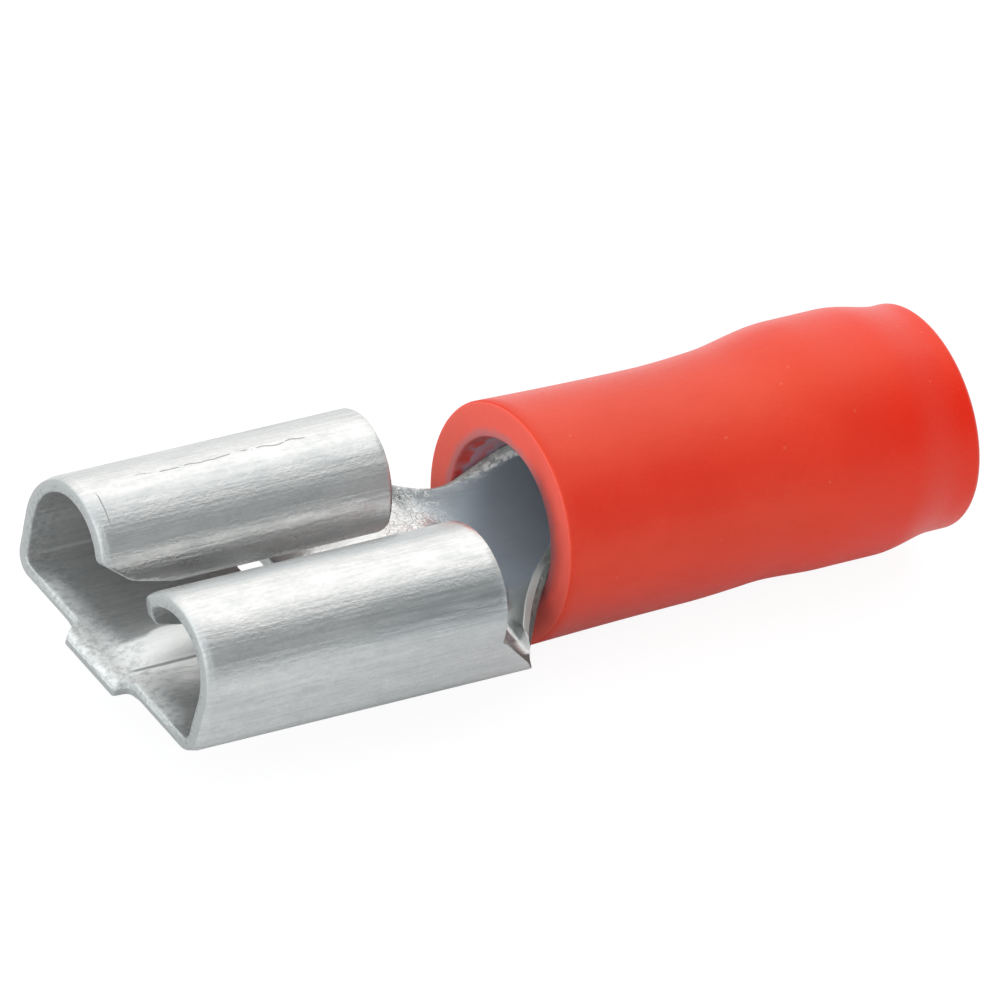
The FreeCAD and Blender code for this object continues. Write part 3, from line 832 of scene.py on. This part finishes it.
def burr_tree():
    """Node tree that scatters small burrs over the cut edges of a mesh."""
    inputs = {
        "Terminal": "Geometry", "Start": "Float", "Density": "Float", "Grain Size": "Float",
        "Seed": "Int", "Material": "Material",
    }
    terminal, start, density, grain_size, seed, material = start_group(
        "GeometryNodeTree", "Burrs", inputs, "Burrs", "NodeSocketGeometry")
    tree = terminal.tree
    named = {"Name": "cut_edge"}
    edge = add(tree, "GeometryNodeInputNamedAttribute", named, "Attribute", data_type="FLOAT")
    along = add(tree, "GeometryNodeInputPosition").parts()[0]
    chosen = (edge > 0.97) * (along > start)
    values = {"Mesh": terminal, "Selection": chosen, "Density": density, "Seed": seed}
    dots = add_node(tree, "GeometryNodeDistributePointsOnFaces", values).outputs
    ball = add(tree, "GeometryNodeMeshIcoSphere", {"Radius": grain_size, "Subdivisions": 1}, "Mesh")
    smallest, largest = (0.3, 0.3, 0.25), (1.6, 0.9, 0.6)
    values = {0: smallest, 1: largest, "Seed": seed}
    sizes = add(tree, "FunctionNodeRandomValue", values, data_type="FLOAT_VECTOR")
    points, rotation = Signal(dots["Points"]), Signal(dots["Rotation"])
    values = {"Points": points, "Instance": ball, "Rotation": rotation, "Scale": sizes}
    return end_shapes(add(tree, "GeometryNodeInstanceOnPoints", values), material)


def run_tree(name, start_mesh, tree, values):
    """Plain mesh that a node tree makes from a starting mesh."""
    base = new_object(name, start_mesh)
    modifier = base.modifiers.new("made", "NODES")
    modifier.node_group = tree
    for item in tree.interface.items_tree:
        if item.in_out == "INPUT" and item.name in values:
            modifier[item.identifier] = values[item.name]
    evaluated = base.evaluated_get(bpy.context.evaluated_depsgraph_get())
    made = bpy.data.meshes.new_from_object(evaluated)
    base.modifiers.remove(modifier)
    base.data = made
    made.name = name
    bpy.data.meshes.remove(start_mesh)
    return base


# Shared masks

def mottling_group():
    """Soft patches, drawn out along the first axis."""
    where, size, stretch, detail, low, high = mask_group(
        "Mottling", {"Size": 1.0, "Stretch": 1.0, "Detail": 3.0, "Low": 0.3, "High": 0.7})
    values = {0: where, 1: vector(size * stretch, size, size)}
    scaled = add(where.tree, "ShaderNodeVectorMath", values, operation="DIVIDE")
    return end_tree(scaled.noise(1, detail, Roughness=0.6).fade(low, high))


def scratches_group():
    """Thin broken lines along the first axis."""
    where, spacing, width, run, amount, wander = mask_group(
        "Scratches", {"Spacing": 0.2, "Width": 0.02, "Length": 1.0, "Share": 0.5, "Wander": 0.05})
    x, y, z = where.parts()
    lane = (where.noise(0.8, 1) * wander + y) / spacing
    lane_number = lane.maths("FLOOR")
    chance = add(where.tree, "ShaderNodeTexWhiteNoise", {"W": lane_number}, noise_dimensions="1D")
    away = abs(lane - lane_number - (chance * 0.6 + 0.2)) * spacing
    line = away.fade(width, width * 0.5)
    broken = vector(x / run, lane_number * 7.3, z * 3).noise(1, 2)
    low = amount * -0.45 + 0.72
    return end_tree(line * broken.fade(low, low + 0.06))


def specks_group():
    """Scattered small dots."""
    where, spacing, size, amount = mask_group("Specks", {"Spacing": 0.2, "Size": 0.03, "Share": 0.3})
    scale = 1 / spacing
    cells = add_node(where.tree, "ShaderNodeTexVoronoi", {"Vector": where, "Scale": scale}).outputs
    radius = size * scale
    dot = Signal(cells["Distance"]).fade(radius, radius * 0.4)
    chosen = Signal(cells["Color"]).parts()[0] < amount
    return end_tree(dot * chosen)


def effect(name, where, **values):
    """Mask from the shared group of this name, which is built the first time."""
    makers = {"Mottling": mottling_group, "Scratches": scratches_group, "Specks": specks_group}
    group = bpy.data.node_groups.get(name) or makers[name]()
    return add(where.tree, "ShaderNodeGroup", {"Vector": where, **values}, node_tree=group)


# Materials. The blank's x, s and out are in millimetres here, and so are the
# places on the sleeve.

def marks_and_painted_light(blank):
    """Masks of the terminal's marks and painted light: dark lines with painted shade in creases, bright rubs
    with painted highlights, dirt, scratches.
    """
    x, s, out = blank.parts()
    outside, inside = out > 0, out < 0
    waver = blank.noise(1.6, 1)
    spots = effect("Mottling", blank, Size=0.10, Detail=4, Low=0.50, High=0.62)

    broken = effect("Mottling", blank, Size=0.13, Stretch=2.6, Detail=2, Low=0.42, High=0.50)
    row = (waver * -0.25 + s).band(6.70, 6.71, 0.015) * x.band(2.1, 5.6, 1.0) * broken * outside
    # Painted shade: a thin dark line in the crease behind the coined front of the rolls, and one where the
    # ridge's near side meets the floor.
    crease = (waver * -0.35 + x).band(0.215, 0.225, 0.018) * s.band(7.15, 7.65, 0.25) * outside
    ridge_crease_shade = (waver * 0.03 + s).band(-0.83, -0.795, 0.035) * x.band(0.3, 3.9, 0.3) * inside

    veins = abs(blank.noise(3.4, 3, Distortion=0.8) - 0.5).fade(0.035, 0)
    neck = x.band(8.2, 9.6, 0.4) * s.fade(-1.7, -0.9) * inside
    # Painted highlights: a lighter crest on the ridge over rubbed matt tin, and a bright spot on the neck's
    # near side. The neck's veins and spots and the nose are real rubbing and coining.
    painted_crest_highlight = x.band(0.25, 2.6, 0.45) * (waver * 0.4 + s).band(-0.72, 0.15, 0.14) * inside
    nose = x.band(-0.43, -0.12, 0.10) * (spots * 0.6 + 0.4) * inside
    painted_glint_spot = x.band(8.88, 9.12, 0.16) * s.band(-3.20, -2.85, 0.20) * inside
    bright = (veins | spots * 0.5) * neck | painted_glint_spot | painted_crest_highlight | nose

    dots = effect("Specks", blank, Spacing=0.10, Size=0.030, Share=0.30)
    blots = effect("Mottling", blank, Size=0.11, Stretch=1.5, Low=0.42, High=0.66)
    dirt = (dots * 0.45 | blots * 0.6) * x.band(-1.0, 0.3, 0.9) * inside
    scratches = effect("Scratches", blank, Spacing=0.62, Width=0.040, Length=2.4, Share=0.30, Wander=0.04)
    # The first mask holds a real scratched row and painted shade in creases; the second holds real rubbing
    # and painted highlights.
    return row | crease | ridge_crease_shade, bright, dirt, scratches * outside


def tinned_brass(finish):
    """Bright tin on rolled sheet: rolling marks, dull patches, rubbing, dirt and scratches, with painted
    shade and painted highlights.
    """
    material = bpy.data.materials.new("tinned_brass")
    tree = empty_tree(material)
    blank = add(tree, "ShaderNodeAttribute", output="Vector", attribute_name="blank")
    edge = add(tree, "ShaderNodeAttribute", output="Fac", attribute_name="cut_edge")
    x, s, out = blank.parts()
    inner_face, flanks = out < 0, abs(s)
    streaks = effect("Mottling", blank, Size=0.085, Stretch=24, Detail=2, Low=0.30, High=0.72)
    patches = effect("Mottling", blank, Size=0.30, Stretch=2.4, Low=0.34, High=0.66)
    grain = effect("Mottling", blank, Size=0.065, Stretch=1.8, Detail=1, Low=0.25, High=0.75)
    torn = effect("Mottling", blank, Size=0.12, Low=0.38, High=0.55)
    dark, bright, dirt, scratches = marks_and_painted_light(blank)

    # Sheared edges: plated at the mouth, bare behind the rolls.
    rim = edge.fade(0.90, 0.99)
    bare = rim * x.fade(6.9, 7.2)
    black = bare * s.fade(-1.6, -2.2, 0, 0.8) * x.fade(7.9, 8.2)
    burrs = effect("Specks", blank, Spacing=0.065, Size=0.030, Share=0.16)
    burrs = burrs | torn * out.fade(-0.05, -0.15) | torn * 0.35
    burrs = burrs * s.fade(-2.6, -2.0, 0.15, 1)

    # Painted shade: darker bands along the rolls and low on the outer walls stand in for dark reflections
    # there.
    roll_band = flanks.band(5.2, 5.8, 0.5) * x.fade(2.4, 6.5) * (streaks * 0.5 + 0.5)
    low_wall = flanks.band(1.0, 5.0, 0.5) * x.fade(2.5, 7.0) * (out > 0)
    painted_shade_bands = roll_band | flanks.band(7.3, 7.55, 0.25) * 0.5 | low_wall * 0.40

    # The inner face: pressed at the mouth, stretched in the neck, with painted shade in the neck and its
    # near curl.
    coined = x.band(-1.0, 0.0, 0.9) * inner_face * flanks.fade(3.2, 2.2)
    # Partly painted shade: dull plating in the neck and barrel, darker and bluer for the shade in the
    # hollow.
    hollow = x.fade(9.1, 10.2) * inner_face
    # Painted shade: the inside of the neck's near curl is darkened to stand in for the shade and dark
    # reflections there.
    curl = x.fade(8.7, 9.3) * x.fade(11.4, 10.2) * inner_face
    curl = curl * s.fade(-0.2, -2.4) * s.fade(-3.0, -2.4, 0.4, 1)
    # Painted highlight: a bright line along the inner edge of the neck's near cut.
    glint = edge.band(0.84, 0.97, 0.08) * x.band(9.15, 9.95, 0.30) * s.fade(-1.7, -2.2) * inner_face
    collar = edge.fade(0.2, 0.75) * x.fade(9.7, 10.5) * s.fade(0, 0.5) * torn * inner_face

    # Painted highlights mixed with real rubbing and burrs, all in the rubbed colour.
    shine = bright | (bare * burrs | collar | glint) * 0.6
    tone = paint(
        finish.tin,
        (streaks * 0.30 + patches * 0.18 + grain * 0.22, finish.dull_tin),
        (painted_shade_bands * 0.68, finish.shaded_tin),
        (rim * x.fade(0.9, 0.3), finish.rim_tin),
        (coined * 0.6, finish.coined_tin),
        (hollow, finish.hollow_tin_and_shade),
        (curl * 0.85, finish.painted_curl_shade),
        (bare * 0.85, finish.bare_cut),
        (black, finish.black_cut),
        (rim * torn * x.fade(0.9, 0.3, 0, 0.45), finish.dull_tin),
        (shine * 0.9, finish.rubbed_and_highlight_tin),
        # Real scratches and dirt, and painted shade in the creases, all in the smudge colour.
        (scratches * 0.10, finish.smudge_and_crease_shade),
        (dirt * 0.60, finish.smudge_and_crease_shade),
        (dark * 0.80, finish.smudge_and_crease_shade),
    )
    matt = coined | bare | hollow | bright | x.fade(2.0, 5.5, 0.22, 0) * inner_face
    relief = streaks * 0.26 + grain * 0.28 + (dark | dirt) * -0.5 + shine * 0.8
    end_material(tree, {
        "Base Color": tone,
        "Metallic": bare * -0.25 + matt * -0.55 + 0.88,
        "Roughness": patches * 0.10 + matt * 0.20 + rim * 0.08 + finish.tin_roughness,
        "Normal": bump(relief, 0.009),
    })
    return material


def bump(relief, depth):
    """Surface direction for a relief, its depth in millimetres."""
    return add(relief.tree, "ShaderNodeBump", {"Height": relief, "Distance": depth * MM, "Strength": 1.0})


def end_material(tree, values):
    end_tree(add(tree, "ShaderNodeBsdfPrincipled", values), "ShaderNodeOutputMaterial")


def mouth_painted_masks(place, clouds):
    """Masks of painted shade and reflection round the mouth, of its depth, and of painted shadow on the face
    and under the sleeve's front.
    """
    axis = TERMINAL_LOW.z / MM + 1.65
    x, y, z = place.parts()
    ragged = effect("Mottling", place, Size=0.30, Detail=1.5)
    radius = add(place.tree, "ShaderNodeVectorMath", {0: vector(y, z - axis)}, "Value", operation="LENGTH")
    radius = radius + clouds * 0.04 + ragged * 0.05
    front = x.fade(10.8, 10.2)
    # Painted shade and reflection: a dull purple ring round the mouth with a red streak left in it,
    # deepening into the throat, and darker in the throat round the barrel.
    streak = radius.band(1.90, 1.96, 0.04) * (ragged * 0.6 + 0.4)
    painted_mouth_shade = radius.fade(2.24, 2.00) * front * (streak * -0.9 + 1)
    throat = radius.fade(1.80, 1.74) * x.fade(13, 12)
    # Painted shadow: the face is darker to the near side and low down, and the underside is darker towards
    # the front, where the terminal shades them.
    side = radius.fade(1.90, 2.60, 0.70, 0) * y.fade(-0.2, -1.2)
    low = radius.fade(1.90, 3.10, 0.85, 0) * (y * 0.5 + z).fade(0.6, -1.3)
    under = z.fade(1.4, -0.2, 0, 0.32) * x.fade(16, 10.2)
    return painted_mouth_shade | throat, radius.fade(2.00, 1.86), (side | low) * front | under


def red_pvc(finish):
    """Soft red plastic with faint clouds, pits and dust, and painted light and shade on the front face,
    round the mouth, underneath and towards the rear.
    """
    material = bpy.data.materials.new("red_pvc")
    tree = empty_tree(material)
    place = add(tree, "ShaderNodeTexCoord", output="Object")
    place = add(tree, "ShaderNodeVectorMath", {0: place, 3: 1 / MM}, operation="SCALE")
    x = place.parts()[0]
    clouds = effect("Mottling", place, Size=1.8, Stretch=1.6, Detail=4)
    grain = effect("Mottling", place, Size=0.08, Low=0.25, High=0.75)
    dust = effect("Specks", place, Spacing=0.45, Size=0.05, Share=0.22)
    painted_mouth_shade, deep, painted_shadow = mouth_painted_masks(place, clouds)
    tone = paint(
        finish.red,
        (clouds, finish.deep_red),
        # Painted reflection: the deeper, purer red towards the rear stands in for its weaker reflections.
        (x.fade(15.5, 20.5), finish.painted_dim_tail),
        (dust * 0.12, finish.dust_red),
        # Painted light: the front face is lighter than the rest to stand in for the light from the front,
        # which the world keeps low.
        (x.fade(9.995, 9.972), finish.face_painted_light),
        (painted_mouth_shade, paint(finish.mouth_shade, (deep, finish.throat_shade))),
        (painted_shadow, finish.painted_shadow_red),
    )
    end_material(tree, {
        "Base Color": tone,
        "IOR": 1.47,
        "Specular Tint": finish.red_gloss,
        "Roughness": grain * 0.08 + finish.red_roughness + x.fade(10.05, 10.35, 0.2, 0),
        "Normal": bump(dust * 0.6 + grain * 0.4, 0.006),
    })
    return material


# Stage

def make_floor(size):
    """Pale floor that looks white to the camera and clear from below."""
    half = size.floor_side / 2
    mesh = bpy.data.meshes.new("floor")
    z = CAD_BOX[0].z
    corners = [(-half, -half, z), (half, -half, z), (half, half, z), (-half, half, z)]
    mesh.from_pydata(corners, [], [(0, 1, 2, 3)])
    floor = new_object("floor", mesh)
    material = bpy.data.materials.new("pale_floor")
    tree = empty_tree(material)
    plain = add(tree, "ShaderNodeBsdfDiffuse", {"Color": size.floor_colour})
    glow = add(tree, "ShaderNodeEmission", {"Strength": 0.92})
    shade = add(tree, "ShaderNodeBsdfDiffuse", {"Color": (0.13, 0.13, 0.13)})
    white = add(tree, "ShaderNodeAddShader", {0: glow, 1: shade})
    path = add_node(tree, "ShaderNodeLightPath").outputs
    mirrored = Signal(path["Is Glossy Ray"]) | Signal(path["Is Transmission Ray"])
    behind = add(tree, "ShaderNodeNewGeometry", output="Position").parts()[1].fade(-0.004, 0.03, 0.05, 1)
    pure = Signal(path["Is Camera Ray"]) | mirrored * behind
    seen = add(tree, "ShaderNodeMixShader", {0: pure, 1: plain, 2: white})
    clear = add(tree, "ShaderNodeBsdfTransparent")
    under = add(tree, "ShaderNodeNewGeometry", output="Backfacing")
    both = add(tree, "ShaderNodeMixShader", {0: under, 1: seen, 2: clear})
    end_tree(both, "ShaderNodeOutputMaterial")
    mesh.materials.append(material)


def make_light(size):
    """White surroundings with a window, a bright front, a screen and a card."""
    world = bpy.data.worlds.new("studio")
    bpy.context.scene.world = world
    tree = empty_tree(world)
    direction = add(tree, "ShaderNodeTexCoord", output="Generated")

    def facing(heading, climb):
        """How closely the view ray points to a heading and climb in degrees."""
        flat, turned = math.cos(math.radians(climb)), math.radians(heading)
        target = Vector((flat * math.cos(turned), flat * math.sin(turned), math.sin(math.radians(climb))))
        return add(tree, "ShaderNodeVectorMath", {0: direction, 1: target}, "Value", operation="DOT_PRODUCT")

    window = facing(35, 45).fade(0.55, 0.88)
    front = facing(185, 30).fade(0.20, 0.90, 0, 0.78)
    screen = facing(-54, 36).fade(0.80, 0.99, 0, 0.46)
    card = facing(-3, 34).fade(0.93, 0.99, 0, 0.50)
    seen = add(tree, "ShaderNodeLightPath", output="Is Camera Ray")
    level = window * 0.54 + 0.77 + front - (screen + card) | seen
    cool, warm, white = (0.93, 0.98, 1.0), (1.0, 0.995, 0.98), (1.0, 1.0, 1.0)
    tint = paint(cool, (window, warm), (seen, white))
    back = add(tree, "ShaderNodeBackground", {"Color": tint, "Strength": level})
    end_tree(back, "ShaderNodeOutputWorld")

    lamp = bpy.data.lights.new("softbox", "AREA")
    lamp.shape = "SQUARE"
    lamp.size = size.softbox_side
    lamp.energy = size.softbox_power
    box = new_object("softbox", lamp)
    aim = Vector((0.008, 0, 0.001))
    box.location = aim + Vector((0.09, 0.08, 0.17))
    box.rotation_euler = (aim - box.location).to_track_quat("-Z", "Y").to_euler()


def make_camera(size):
    """Camera on the photo's line of sight, turned a little off the origin."""
    right = Vector((0.83562, -0.52170, 0.17196))
    up = Vector((0.20195, 0.58290, 0.78705))
    back = Vector((-0.51083, -0.62295, 0.59244))
    aside, above = 0.021141, 0.0086436
    view = (right * aside + up * above - back).normalized()
    side = view.cross(up).normalized()
    top = side.cross(view)
    camera = new_object("camera", bpy.data.cameras.new("camera"))
    camera.data.lens = size.lens
    camera.data.sensor_width = 36
    camera.data.clip_start = 0.01
    camera.data.clip_end = 10
    camera.rotation_mode = "QUATERNION"
    camera.rotation_quaternion = Matrix((side, top, -view)).transposed().to_quaternion()
    camera.location = back * size.camera_distance
    bpy.context.scene.camera = camera


# Operators and panel

class SPADE_OT_stage(bpy.types.Operator):
    """Makes the floor, the light and the camera"""

    bl_idname = "spade.stage"
    bl_label = "Stage"

    def execute(self, context):
        size = context.scene.spade_stage
        make_floor(size)
        make_light(size)
        make_camera(size)
        return {"FINISHED"}


class SPADE_OT_terminal(bpy.types.Operator):
    """Folds the terminal out of its blank"""

    bl_idname = "spade.terminal"
    bl_label = "Terminal"

    def execute(self, context):
        size = context.scene.spade_terminal
        piece = new_object("terminal_skin", terminal_mesh(size))
        tin = tinned_brass(context.scene.spade_finishes)
        piece.data.materials.append(tin)
        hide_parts("terminal")
        values = {
            "Start": size.roll_length + 0.1 * MM, "Density": size.burr_density / MM ** 2,
            "Grain Size": size.burr_size, "Seed": 3, "Material": tin,
        }
        burrs = run_tree("terminal_burrs", piece.data.copy(), burr_tree(), values)
        for each in (piece, burrs):
            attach(each, "root")
        return {"FINISHED"}


class SPADE_OT_sleeve(bpy.types.Operator):
    """Turns the plastic sleeve from its profile"""

    bl_idname = "spade.sleeve"
    bl_label = "Sleeve"

    def execute(self, context):
        size = context.scene.spade_sleeve
        profile = bpy.data.meshes.new("sleeve_profile")
        profile.from_pydata(sleeve_profile(size), [], [])
        values = {
            "Segments": size.segments, "Axis Height": size.axis, "Lean Start": size.end - 0.8 * MM,
            "Lean End": size.end, "Lean": size.lean, "Waviness": size.waviness,
            "Material": red_pvc(context.scene.spade_finishes),
        }
        piece = run_tree("sleeve_skin", profile, sleeve_tree(), values)
        turn_outward(piece.data)
        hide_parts("insulating_sleeve")
        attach(piece, "root")
        return {"FINISHED"}


class SPADE_PT_panel(bpy.types.Panel):
    """Buttons and sizes in the 3D view's sidebar"""

    bl_idname = "SPADE_PT_panel"
    bl_label = "Spade Connector"
    bl_space_type = "VIEW_3D"
    bl_region_type = "UI"
    bl_category = "Connector"

    def draw(self, context):
        for operator in OPERATORS:
            self.layout.operator(operator.bl_idname)
        for name in SCENE_GROUPS:
            group = getattr(context.scene, name)
            box = self.layout.box()
            for prop in group.bl_rna.properties:
                if prop.identifier not in {"rna_type", "name"}:
                    box.prop(group, prop.identifier)


SCENE_GROUPS = {
    "spade_terminal": TerminalSizes,
    "spade_sleeve": SleeveSizes,
    "spade_finishes": Finishes,
    "spade_stage": StageSizes,
}
OPERATORS = (SPADE_OT_stage, SPADE_OT_terminal, SPADE_OT_sleeve)
CLASSES = (*SCENE_GROUPS.values(), *OPERATORS, SPADE_PT_panel)


def register():
    for each in CLASSES:
        bpy.utils.register_class(each)
    for name, group in SCENE_GROUPS.items():
        setattr(bpy.types.Scene, name, PointerProperty(type=group))


def unregister():
    for name in SCENE_GROUPS:
        delattr(bpy.types.Scene, name)
    for each in reversed(CLASSES):
        bpy.utils.unregister_class(each)


def main():
    register()
    bpy.context.scene.view_settings.view_transform = "Standard"
    bpy.ops.spade.stage()
    bpy.ops.spade.terminal()
    bpy.ops.spade.sleeve()


if __name__ == "__main__":
    main()
